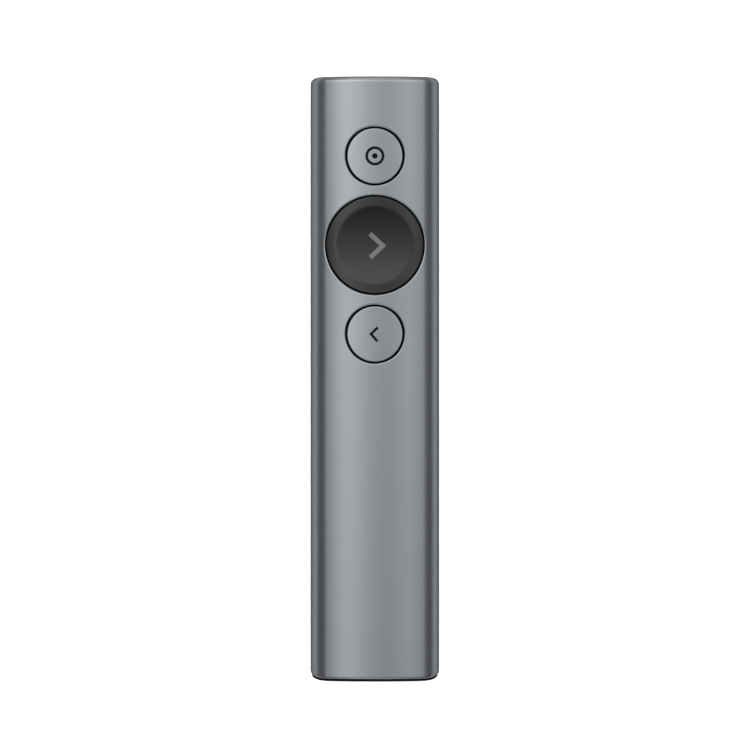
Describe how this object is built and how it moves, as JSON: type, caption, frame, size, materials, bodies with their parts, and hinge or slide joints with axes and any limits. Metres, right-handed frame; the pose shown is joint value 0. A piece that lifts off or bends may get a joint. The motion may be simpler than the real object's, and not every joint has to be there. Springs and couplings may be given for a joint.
{
  "type": "wireless presentation clicker",
  "caption": "Slim crowned metal clicker with round sprung buttons, a dished main button and a plug-in receiver stored in its tail.",
  "frame": {"origin": "middle of the flat land on the back, which the clicker rests on", "axes": "+X across the clicker, +Y along it towards the nose, +Z out of the button face"},
  "size_m": [0.0282, 0.1314, 0.0121],
  "materials": {
    "sleeve_metal": "fine blasted and anodised, slate grey",
    "cap_metal": "fine blasted and anodised, slate grey",
    "next_cap_plastic": "soft matt, near black",
    "black_plastic": "fine moulded texture",
    "tray_plastic": "moulded",
    "plunger_plastic": "moulded",
    "board_laminate": "solder mask",
    "chip_resin": "moulded resin",
    "antenna_ceramic": "glazed ceramic",
    "cell_foil": "laminate foil",
    "foam_tape": "closed cell foam",
    "lead_jacket": "silicone",
    "motor_steel": "plated",
    "spring_steel": "bright strip",
    "screw_steel": "black zinc",
    "port_steel": "nickel plated",
    "tongue_plastic": "moulded",
    "contact_gold": "gold plated"
  },
  "bodies": {
    "body": {"sleeve": "sleeve_metal", "nose_cap": "black_plastic", "tail_cap": "black_plastic", "receiver_dock": "black_plastic", "dock_springs": "spring_steel", "chassis": "tray_plastic", "button_frame": "tray_plastic", "frame_screws": "screw_steel", "main_board": "board_laminate", "board_chips": "chip_resin", "antenna": "antenna_ceramic", "battery": "cell_foil", "battery_pad": "foam_tape", "battery_leads": "lead_jacket", "vibration_motor": "motor_steel", "charging_port_shell": "port_steel", "charging_port_tongue": "tongue_plastic", "pointer_dome": "spring_steel", "next_dome": "spring_steel", "back_dome": "spring_steel"},
    "pointer_key": {"pointer_button": "cap_metal", "pointer_plunger": "plunger_plastic"},
    "next_key": {"next_button": "next_cap_plastic", "next_plunger": "plunger_plastic"},
    "back_key": {"back_button": "cap_metal", "back_plunger": "plunger_plastic"},
    "receiver": {"receiver_head": "black_plastic", "receiver_shell": "port_steel", "receiver_tongue": "tongue_plastic", "receiver_contacts": "contact_gold", "receiver_board": "board_laminate"}
  },
  "joints": [
    {"name": "pointer_press", "type": "slide", "parent": "body", "child": "pointer_key", "axis": [0, 0, -1], "range_m": [0, 0.00035], "stiffness_N_per_m": 3000, "springref_m": -0.0002, "deforming": ["pointer_dome"]},
    {"name": "next_press", "type": "slide", "parent": "body", "child": "next_key", "axis": [0, 0, -1], "range_m": [0, 0.00035], "stiffness_N_per_m": 3000, "springref_m": -0.0002, "deforming": ["next_dome"]},
    {"name": "back_press", "type": "slide", "parent": "body", "child": "back_key", "axis": [0, 0, -1], "range_m": [0, 0.00035], "stiffness_N_per_m": 3000, "springref_m": -0.0002, "deforming": ["back_dome"]},
    {"name": "receiver_pull", "type": "slide", "parent": "body", "child": "receiver", "axis": [0, -1, 0], "range_m": [0, 0.02]}
  ]
}
